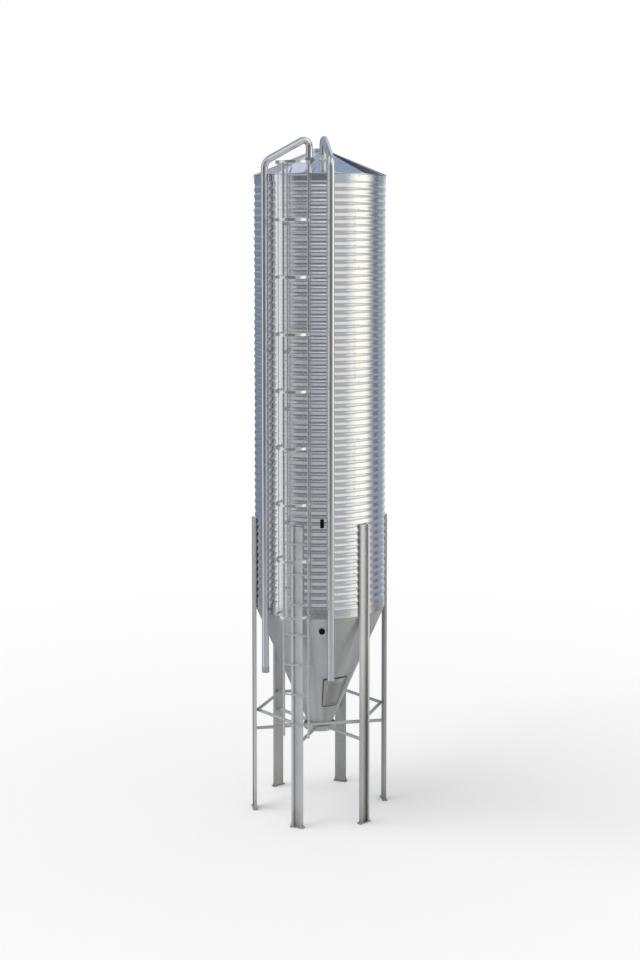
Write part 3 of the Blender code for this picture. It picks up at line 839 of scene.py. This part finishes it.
def build_window():
    w, h = 0.057, 0.128
    at = radial(WINDOW_A, 1.0, 4.589)
    flat = Matrix.Rotation(math.radians(-90), 4, "X")
    body = Build()
    outer = rounded(w, h, 0.008, 4)
    inner = rounded(w - 0.004, h - 0.004, 0.006, 4)
    n = len(outer)
    verts = ([(x, y, -0.008) for x, y in outer] + [(x, y, 0.0070) for x, y in outer]
             + [(x, y, 0.0088) for x, y in inner])
    faces = [tuple(range(n)), tuple(range(2 * n, 3 * n))]
    for j in (0, n):
        faces += [(j + i, j + (i + 1) % n, j + n + (i + 1) % n, j + n + i)
                  for i in range(n)]
    body.add((verts, faces), at @ flat)
    piece("flat_window", body, PANE, 40.0, ("upper_sight_window",))


# ----------------------------------------------------------------------- legs
def build_legs():
    w, t, y1, lip = 0.180, 0.005, 0.0446, 0.038
    line = [(-w / 2 + lip, y1 - t / 2), (-w / 2 + t / 2, y1 - t / 2),
            (-w / 2 + t / 2, t / 2), (w / 2 - t / 2, t / 2),
            (w / 2 - t / 2, y1 - t / 2), (w / 2 - lip, y1 - t / 2)]
    channel = strip(line, t, 0.0075, 5)
    bolts = Build()
    for number in range(6):
        angle = 60.0 * number
        at = radial(angle, 1.0004, 0.0)
        leg = Build()
        leg.add(prism(channel, 0.011, 4.535), at)
        # foot plate with gussets
        plate = rounded(0.222, 0.080, 0.008, 4, 0.0, 0.0216)
        n = len(plate)
        inner = [(x * 0.985, (y - 0.0216) * 0.96 + 0.0216) for x, y in plate]
        verts = ([(x, y, 0.0) for x, y in plate] + [(x, y, 0.0098) for x, y in plate]
                 + [(x, y, 0.012) for x, y in inner])
        faces = [tuple(range(n)), tuple(range(2 * n, 3 * n))]
        for j in (0, n):
            faces += [(j + i, j + (i + 1) % n, j + n + (i + 1) % n, j + n + i)
                      for i in range(n)]
        leg.add((verts, faces), at)
        for side in (-1, 1):
            a, b = side * (w / 2 - 0.002), side * (0.111 - 0.004)
            gusset = [(a, 0.011), (b, 0.011), (b, 0.020), (a + side * 0.004, 0.075),
                      (a, 0.075)]
            m = at @ Matrix.Translation((0.0, 0.030, 0.0)) @ Matrix.Rotation(
                math.radians(90), 4, "X")
            leg.add(prism(gusset, 0.0, 0.006), m)
        # post 2 gets painted shade that darkens it towards its foot
        # posts 3 to 5, behind and under the silo, get a darker copy of the zinc:
        # painted shade
        finish = (DARK_TONE_AND_SHADE if number in (2, 3, 4) else
                  LOW_SHADE if number == 1 else MATTE)
        piece("post_%d" % (number + 1), leg, finish, 30.0,
              ("leg_%d" % (number + 1),))
        # bolts through the web into the shell, and at the foot
        for k in range(7):
            for side in (-1, 1):
                bolts.add(bolt(0.016, 0.009), at @ Matrix.Translation(
                    (side * 0.034, t, 3.210 + 0.2114 * k)))
        up = Matrix.Rotation(math.radians(90), 4, "X")
        for side in (-1, 1):
            for y in (0.048, 0.004):
                bolts.add(bolt(0.014, 0.010, 0.009), at @ Matrix.Translation(
                    (side * 0.101, y, 0.012)) @ up)
    piece("post_bolts", bolts, BOLT, 30.0)


def build_braces():
    sides, ring = 20, Build()
    loops, verts = [], []
    for number in range(6):
        loop = []
        for k in range(sides):
            t = 2 * math.pi * k / sides
            u, v = 0.024 * math.cos(t), 0.024 * math.sin(t)
            loop.append(len(verts))
            verts.append(polar(60.0 * number,
                               0.972 + u / math.cos(math.radians(30)), 1.545 + v))
        loops.append(loop)
    faces = []
    for i in range(6):
        a, b = loops[i], loops[(i + 1) % 6]
        for k in range(sides):
            j = (k + 1) % sides
            faces.append((a[k], a[j], b[j], b[k]))
    ring.add((verts, faces))
    piece("brace_tubes", ring, TUBE, 50.0, ("brace_ring",))

    hub = [(0.2495, 1.2340), (0.2500, 1.2350), (0.2500, 1.2935), (0.2485, 1.2950),
           (0.2375, 1.2950), (0.2360, 1.2935), (0.2360, 1.2350), (0.2365, 1.2340)]
    body = Build().add(lathe(hub, 96))
    tube = rounded(0.040, 0.040, 0.005, 3)
    for number in range(6):
        angle = 60.0 * number
        body.add(bar(polar(angle, 0.2480, 1.258), polar(angle, 0.9998, 1.258),
                     tube))
    piece("outlet_spokes", body, TUBE, 40.0, ("outlet_brace",))

    # cleats and bolts where the braces meet the posts
    cleats, bolts = Build(), Build()
    for number in range(6):
        angle = 60.0 * number
        at = radial(angle, 0.972, 1.545)
        cleats.add(prism(rounded(0.060, 0.0035, 0.001, 1), -0.030, 0.030),
                   at @ Matrix.Translation((0.0, 0.0265, 0.0)))
        for side in (-1, 1):
            bolts.add(bolt(0.014, 0.007), radial(angle, 1.0054, 1.545)
                      @ Matrix.Translation((side * 0.020, 0.0, 0.0)))
        for dz in (-0.010, 0.010):
            bolts.add(bolt(0.012, 0.006), radial(angle, 1.0054, 1.258 + dz))
    piece("brace_cleats", cleats, MATTE, 30.0)
    piece("brace_bolts", bolts, BOLT, 30.0)


# --------------------------------------------------------------------- ladder
def build_ladder():
    rho, sx, sw, sd = 1.063, 0.194, 0.028, 0.028
    z_lo, step = 1.5725, 0.4518
    joints = (1.392, z_lo + 5.5 * step, z_lo + 11.5 * step, 9.870)
    wall_y = -math.sqrt(1.0 - sx ** 2) - 0.0025
    box = rounded(sw, sd, 0.004, 3)
    for section in range(3):
        z0, z1 = joints[section], joints[section + 1]
        body = Build()
        for side in (-1, 1):
            body.add(prism([(side * sx + x, -rho + y) for x, y in box],
                           z0 + 0.0004, z1 - 0.0004))
        for k in range(19):
            z = z_lo + k * step
            if z0 < z < z1:
                reach = sx - sw / 2 + 0.004
                body.add(bar((-reach, -rho, z), (reach, -rho, z),
                             circle(0.012, 20)))
                for side in (-1, 1):     # weld rings
                    c = side * (sx - sw / 2 - 0.0035)
                    ring = lathe([(0.0120, -0.0035), (0.0155, -0.0035),
                                  (0.0130, 0.0035), (0.0120, 0.0035)], 20)
                    turn = Matrix.Rotation(math.radians(-90 * side), 4, "Y")
                    body.add(ring, Matrix.Translation((c, -rho, z)) @ turn)
        heights = {0: (3.605,), 1: (4.585, 6.275), 2: (7.120, 8.995)}[section]
        for z in heights:
            for side in (-1, 1):
                x = side * sx
                outline = strip([(x, -rho + sd / 2 - 0.002), (x, wall_y - 0.0018),
                                 (x - side * 0.045, wall_y - 0.0018)], 0.004,
                                0.006, 3)
                body.add(prism(outline, z - 0.025, z + 0.025))
        names = ("ladder_lower", "ladder_middle", "ladder_upper")
        piece("ladder_section_%d" % (section + 1), body, STEEL, 35.0,
              (names[section],))

    # joint plates between the sections, with their bolts
    plates, bolts = Build(), Build()
    for z in joints[1:3]:
        for side in (-1, 1):
            x = side * (sx - sw / 2 - 0.002)
            plates.add(prism(rounded(0.004, 0.024, 0.001, 1, x, -rho),
                             z - 0.070, z + 0.070))
            for dz in (-0.045, -0.018, 0.018, 0.045):
                m = Matrix.Translation((side * (sx + sw / 2), -rho, z + dz))
                bolts.add(bolt(0.012, 0.006), m @ Matrix.Rotation(
                    math.radians(-90 * side), 4, "Z"))
    piece("ladder_plates", plates, STEEL, 35.0)
    piece("ladder_bolts", bolts, BOLT, 35.0)
    for word in ("left", "right"):
        NODES["ladder_tie_%s" % word].data.materials.clear()
        NODES["ladder_tie_%s" % word].data.materials.append(STEEL)


def build_cage():
    r0, r1, cy = 0.2452, 0.2512, -1.188
    h = 0.040
    bolts = Build()
    angles = {"left": -97.0, "centre": 0.0, "right": 97.0}
    for number in range(9):
        z = 3.265 + 0.8263 * number
        e = 0.0012
        outline = [(r1, z - h / 2 + e), (r1, z + h / 2 - e), (r1 - e, z + h / 2),
                   (r0 + e, z + h / 2), (r0, z + h / 2 - e), (r0, z - h / 2 + e),
                   (r0 + e, z - h / 2), (r1 - e, z - h / 2)]
        piece("cage_ring_%d" % (number + 1),
              lathe(outline, 72, -119.0, 119.0, (0.0, cy)), STEEL, 35.0,
              ("cage_hoop_%d" % (number + 1),))
        for a in list(angles.values()):
            m = Matrix.Translation((0.0, cy, 0.0)) @ radial(a, r1, z)
            bolts.add(bolt(0.013, 0.007), m)
    z0, z1 = 3.245, 9.895
    flat = rounded(0.020, 0.005, 0.0015, 2)
    for word, a in angles.items():
        m = Matrix.Translation((0.0, cy, 0.0)) @ radial(a, 0.2405, 0.0)
        piece("cage_upright_%s" % word, Build().add(prism(flat, z0, z1), m),
              STEEL, 35.0, ("cage_strap_%s" % word,))
    piece("cage_bolts", bolts, BOLT, 35.0)


# ---------------------------------------------------------------------- pipes
def pipe_route(z_start, reach, top_z, end_z):
    """The axis as (s, z), with s along the ground from riser to drop."""
    start, low = Vector((0.0, z_start)), Vector((0.0, 9.906))
    top, end = Vector((reach, top_z)), Vector((reach, end_z))

    def corner(p, before, after, radius, pieces):
        u, v = (before - p).normalized(), (after - p).normalized()
        half = u.angle(v) / 2
        back = radius / math.tan(half)
        centre = p + (u + v).normalized() * (radius / math.sin(half))
        a, b = p + u * back - centre, p + v * back - centre
        a0, a1 = math.atan2(a.y, a.x), math.atan2(b.y, b.x)
        turn = (a1 - a0 + math.pi) % (2 * math.pi) - math.pi
        return [centre + radius * Vector((math.cos(a0 + turn * k / pieces),
                                          math.sin(a0 + turn * k / pieces)))
                for k in range(pieces + 1)]

    return ([start] + corner(low, start, top, 0.165, 18)
            + corner(top, low, end, 0.085, 22) + [end])


def swept(route, foot, ahead, outer, inner, sides):
    """A tube along an (s, z) route that starts over foot and runs ahead."""
    across = Vector((-ahead.y, ahead.x, 0.0))
    verts, rings = [], []
    for i, p in enumerate(route):
        if i == 0:
            along = (route[1] - p).normalized()
        elif i == len(route) - 1:
            along = (p - route[-2]).normalized()
        else:
            along = ((route[i + 1] - p).normalized()
                     + (p - route[i - 1]).normalized()).normalized()
        side = Vector((along.y, -along.x))
        pair = []
        for radius in (outer, inner):
            row = []
            for k in range(sides):
                t = 2 * math.pi * k / sides
                q = p + side * (radius * math.sin(t))
                at = foot + ahead * q.x + across * (radius * math.cos(t))
                row.append(len(verts))
                verts.append((at.x, at.y, q.y))
            pair.append(row)
        rings.append(pair)
    faces = []
    for a, b in zip(rings, rings[1:]):
        for w in (0, 1):
            for k in range(sides):
                j = (k + 1) % sides
                faces.append((a[w][k], a[w][j], b[w][j], b[w][k]))
    for ring in (rings[0], rings[-1]):
        for k in range(sides):
            j = (k + 1) % sides
            faces.append((ring[0][k], ring[0][j], ring[1][j], ring[1][k]))
    return verts, faces


def build_pipes():
    clamps, bolts = Build(), Build()
    for name, node, angle, z_start, drop, top_z in (
            ("fill_tube", "fill_pipe", FILL_A, 2.300, FILL_DROP, 10.288),
            ("return_tube", "return_pipe", RETURN_A, 2.268, RETURN_DROP,
             10.312)):
        foot = Vector(polar(angle, PIPE_RHO, 0.0))
        inlet = Vector(polar(drop[0], drop[1], 0.0))
        reach = (inlet - foot).length
        level = facet_z(inlet.x, inlet.y)
        route = pipe_route(z_start, reach, top_z, level - 0.040)
        piece(name, swept(route, foot, (inlet - foot) / reach, PIPE_R, 0.0485,
                          48), PIPE, 45.0, (node,))
        # clamps that hold the riser to the wall
        for z in (3.235, 5.429, 7.120, 8.811):
            band = [(0.0528, z - 0.015), (0.0540, z - 0.016), (0.0550, z - 0.015),
                    (0.0550, z + 0.015), (0.0540, z + 0.016), (0.0528, z + 0.015)]
            clamps.add(lathe(band, 40, centre=foot[:2]))
            m = radial(angle, 0.0, 0.0)
            clamps.add(prism([(-0.003, 0.9955), (0.003, 0.9955), (0.003, 1.0250),
                              (-0.003, 1.0250)], z - 0.018, z + 0.018), m)
            bolts.add(bolt(0.011, 0.006), radial(angle, 1.0075, z)
                      @ Matrix.Translation((0.003, 0.0, 0.0))
                      @ Matrix.Rotation(math.radians(-90), 4, "Z"))
        # boot where the pipe enters the roof: a flange on the sheet's slope
        # and a collar up the pipe
        rows = [(0.0530, -0.002, 0.0), (0.0810, -0.002, 0.0),
                (0.0810, 0.0035, 0.0), (0.0795, 0.0050, 0.0),
                (0.0680, 0.0065, 0.1), (0.0615, 0.0130, 0.5),
                (0.0590, 0.0260, 0.9), (0.0585, 0.0400, 1.0),
                (0.0575, 0.0415, 1.0), (0.0528, 0.0415, 1.0)]
        sides, verts, faces = 48, [], []
        for r, h, flat in rows:
            for k in range(sides):
                t = 2 * math.pi * k / sides
                x, y = inlet.x + r * math.cos(t), inlet.y + r * math.sin(t)
                verts.append((x, y, facet_z(x, y) * (1 - flat) + level * flat
                              + h))
        n_r = len(rows)
        for j in range(n_r):
            for k in range(sides):
                p, q = j * sides, ((j + 1) % n_r) * sides
                faces.append((p + k, p + (k + 1) % sides, q + (k + 1) % sides,
                              q + k))
        piece(name.replace("tube", "boot"), (verts, faces),
              BOOT if name == "fill_tube" else MATTE, 50.0)
    piece("pipe_clamps", clamps, STEEL, 35.0)
    piece("pipe_clamp_bolts", bolts, BOLT, 35.0)

    # coupling sleeve at the foot of the fill pipe
    c = polar(FILL_A, PIPE_RHO, 0.0)
    sleeve = [(0.0530, 2.2855), (0.0580, 2.2855), (0.0590, 2.2865),
              (0.0590, 2.2950), (0.0572, 2.2980), (0.0572, 2.3520),
              (0.0590, 2.3550), (0.0590, 2.3635), (0.0580, 2.3645),
              (0.0530, 2.3645)]
    piece("fill_sleeve", lathe(sleeve, 64, centre=c[:2]), DARK_TONE_AND_SHADE, 35.0,
          ("fill_coupling",))


build_shell()
build_roof()
build_hopper()
build_window()
build_legs()
build_braces()
build_ladder()
build_cage()
build_pipes()


# --------------------------------------------------------------------- studio
def build_floor():
    size = 90.0
    mesh = bpy.data.meshes.new("studio_floor")
    mesh.from_pydata([(-size, -size, -0.0005), (size, -size, -0.0005),
                      (size, size, -0.0005), (-size, size, -0.0005)], [],
                     [(0, 1, 2, 3)])
    ob = bpy.data.objects.new("studio_floor", mesh)
    SCENE.collection.objects.link(ob)
    mat = bpy.data.materials.new("studio_floor")
    mat.use_nodes = True
    tree = mat.node_tree
    tree.nodes.clear()
    out = tree.nodes.new("ShaderNodeOutputMaterial")
    diffuse = tree.nodes.new("ShaderNodeBsdfDiffuse")
    diffuse.inputs["Color"].default_value = (0.93, 0.93, 0.93, 1.0)
    glow = tree.nodes.new("ShaderNodeEmission")
    glow.inputs["Color"].default_value = (1.0, 1.0, 1.0, 1.0)
    coord = tree.nodes.new("ShaderNodeTexCoord")
    length = tree.nodes.new("ShaderNodeVectorMath")
    length.operation = "LENGTH"
    fade = tree.nodes.new("ShaderNodeMapRange")
    fade.interpolation_type = "SMOOTHSTEP"
    fade.inputs["From Min"].default_value = 4.5
    fade.inputs["From Max"].default_value = 17.0
    mix = tree.nodes.new("ShaderNodeMixShader")
    link = tree.links.new
    link(coord.outputs["Object"], length.inputs[0])
    link(length.outputs["Value"], fade.inputs["Value"])
    link(fade.outputs["Result"], mix.inputs["Fac"])
    link(diffuse.outputs[0], mix.inputs[1])
    link(glow.outputs[0], mix.inputs[2])
    link(mix.outputs[0], out.inputs["Surface"])
    mesh.materials.append(mat)
    ob.visible_glossy = False
    return ob


# Soft boxes and flags of the studio, as seen in the steel: (first azimuth,
# last azimuth, softness; lowest and highest elevation, softness; colour).
# Azimuths are degrees to the right of the camera's direction, seen from the
# silo; elevations are degrees above the horizon.
CARDS = (
    # under the horizon
    (-180, 30, 8, -90, -57, 6, (0.66, 0.665, 0.67)),
    (38, 180, 8, -90, -52, 6, (0.22, 0.225, 0.23)),
    (55, 103, 6, -46, -26, 5, (1.02, 1.01, 0.93)),
    (104, 150, 6, -48, -4, 8, (0.34, 0.365, 0.40)),
    (-180, -98, 6, -48, -4, 8, (0.25, 0.28, 0.33)),
    # left side
    (-180, -116, 6, -8, 90, 6, (0.185, 0.24, 0.33)),
    (-180, -116, 6, 5, 60, 3, (0.31, 0.37, 0.45)),
    (-115, -102, 3, -8, 60, 8, (0.235, 0.23, 0.275)),
    (-115, -102, 3, 12, 60, 6, (0.52, 0.50, 0.54)),
    (-98, -69, 4, -44, 70, 6, (0.86, 0.86, 0.87)),
    (-67, -47, 4, -6, 70, 8, (0.50, 0.51, 0.54)),
    (-70, -56, 3, -6, 70, 8, (0.62, 0.62, 0.64)),
    # front: dark over the camera, brighter high up
    (-46, 20, 5, 4, 31, 5, (0.235, 0.245, 0.26)),
    (-46, -20, 5, 32, 66, 5, (0.31, 0.325, 0.35)),
    (-18, -5, 5, 30, 66, 5, (0.70, 0.75, 0.83)),
    (-4, 19, 5, 29, 66, 5, (0.76, 0.81, 0.90)),
    (-49, 17, 4, -12, 7, 2.5, (0.15, 0.15, 0.155)),
    # right side: the large warm soft box
    (22, 54, 4, 8, 60, 6, (0.86, 0.865, 0.86)),
    (53, 99, 6, -7, 60, 5, (1.03, 1.01, 0.92)),
    (65, 93, 5, -12, 60, 5, (1.28, 1.24, 1.08)),
    (108, 126, 4, -11, 62, 6, (0.17, 0.20, 0.245)),
    (130, 144, 5, -8, 9, 5, (0.31, 0.35, 0.42)),
    (130, 144, 5, 9, 60, 5, (0.47, 0.53, 0.61)),
    (144, 155, 5, -10, 7, 5, (0.44, 0.49, 0.56)),
    (144, 155, 5, 7, 60, 5, (0.62, 0.67, 0.74)),
    (154, 168, 4, -40, 60, 8, (0.66, 0.70, 0.76)),
    # behind the silo, seen in the roof
    (169, 180, 3, 15, 29, 4, (0.035, 0.045, 0.075)),
    (169, 180, 3, 31, 62, 4, (0.31, 0.41, 0.56)),
    (-180, -165, 3, 31, 62, 4, (0.68, 0.73, 0.86)),
    (-180, -165, 3, 15, 30, 4, (0.42, 0.44, 0.48)),
    (-178, -166, 1.5, 1, 13, 3, (0.92, 0.93, 0.96)),
    (-180, -177, 1.5, 15, 62, 4, (0.36, 0.46, 0.60)),
    (170, 180, 1.5, 0, 14, 3, (0.02, 0.025, 0.055)),
)


def build_world():
    world = bpy.data.worlds.new("studio")
    SCENE.world = world
    world.use_nodes = True
    tree = world.node_tree
    tree.nodes.clear()
    link = tree.links.new

    def math_node(kind, a, b=None):
        n = tree.nodes.new("ShaderNodeMath")
        n.operation = kind
        for socket, v in zip(n.inputs, (a, b)):
            if v is None:
                continue
            if isinstance(v, (int, float)):
                socket.default_value = v
            else:
                link(v, socket)
        return n.outputs["Value"]

    def dot(vector, d):
        n = tree.nodes.new("ShaderNodeVectorMath")
        n.operation = "DOT_PRODUCT"
        link(vector, n.inputs[0])
        n.inputs[1].default_value = d
        return n.outputs["Value"]

    def window(value, lo, hi, soft):
        n = tree.nodes.new("ShaderNodeMapRange")
        n.interpolation_type = "SMOOTHSTEP"
        n.inputs["From Min"].default_value = lo - soft
        n.inputs["From Max"].default_value = lo + soft
        link(value, n.inputs["Value"])
        m = tree.nodes.new("ShaderNodeMapRange")
        m.interpolation_type = "SMOOTHSTEP"
        m.inputs["From Min"].default_value = hi - soft
        m.inputs["From Max"].default_value = hi + soft
        m.inputs["To Min"].default_value = 1.0
        m.inputs["To Max"].default_value = 0.0
        link(value, m.inputs["Value"])
        return math_node("MULTIPLY", n.outputs["Result"], m.outputs["Result"])

    def mix(fac, a, b):
        n = tree.nodes.new("ShaderNodeMix")
        n.data_type = "RGBA"
        if isinstance(fac, float):
            n.inputs[0].default_value = fac
        else:
            link(fac, n.inputs[0])
        for key, v in ((6, a), (7, b)):
            if isinstance(v, tuple):
                n.inputs[key].default_value = (*v, 1.0)
            else:
                link(v, n.inputs[key])
        return n.outputs[2]

    coord = tree.nodes.new("ShaderNodeTexCoord").outputs["Generated"]
    a = math.radians(AZ)
    front = dot(coord, (math.sin(a), -math.cos(a), 0.0))
    right = dot(coord, (math.cos(a), math.sin(a), 0.0))
    up = dot(coord, (0.0, 0.0, 1.0))
    degrees = 180.0 / math.pi
    az = math_node("MULTIPLY", math_node("ARCTAN2", right, front), degrees)
    flat = math_node("SQRT", math_node("ADD", math_node("MULTIPLY", right, right),
                                       math_node("MULTIPLY", front, front)))
    el = math_node("MULTIPLY", math_node("ARCTAN2", up, flat), degrees)

    def rise(lo, hi):
        n = tree.nodes.new("ShaderNodeMapRange")
        n.interpolation_type = "SMOOTHSTEP"
        n.inputs["From Min"].default_value = lo
        n.inputs["From Max"].default_value = hi
        link(el, n.inputs["Value"])
        return n.outputs["Result"]

    colour = mix(rise(-14.0, 4.0), (0.475, 0.485, 0.50), (0.42, 0.46, 0.52))
    colour = mix(rise(38.0, 62.0), colour, (0.36, 0.42, 0.52))
    for a0, a1, sa, e0, e1, se, tint in CARDS:
        w = math_node("MULTIPLY", window(az, a0, a1, sa), window(el, e0, e1, se))
        colour = mix(w, colour, tint)

    path = tree.nodes.new("ShaderNodeLightPath")
    colour = mix(path.outputs["Is Diffuse Ray"], colour, (0.77, 0.77, 0.77))
    colour = mix(path.outputs["Is Camera Ray"], colour, (1.0, 1.0, 1.0))
    back = tree.nodes.new("ShaderNodeBackground")
    link(colour, back.inputs["Color"])
    out = tree.nodes.new("ShaderNodeOutputWorld")
    link(back.outputs[0], out.inputs["Surface"])


def build_lights():
    sun = bpy.data.lights.new("soft_key", "SUN")
    sun.energy = 1.10
    sun.angle = math.radians(50.0)
    ob = bpy.data.objects.new("soft_key", sun)
    SCENE.collection.objects.link(ob)
    # from the left of the camera, fairly high
    d = Vector(polar(AZ - 75.0, 1.0, 1.15))
    ob.rotation_euler = d.to_track_quat("Z", "Y").to_euler()
    ob.visible_glossy = False


build_floor()
build_world()
build_lights()
SCENE.view_settings.view_transform = "Standard"
SCENE.view_settings.look = "None"
SCENE.view_settings.exposure = 0.0
SCENE.view_settings.gamma = 1.0
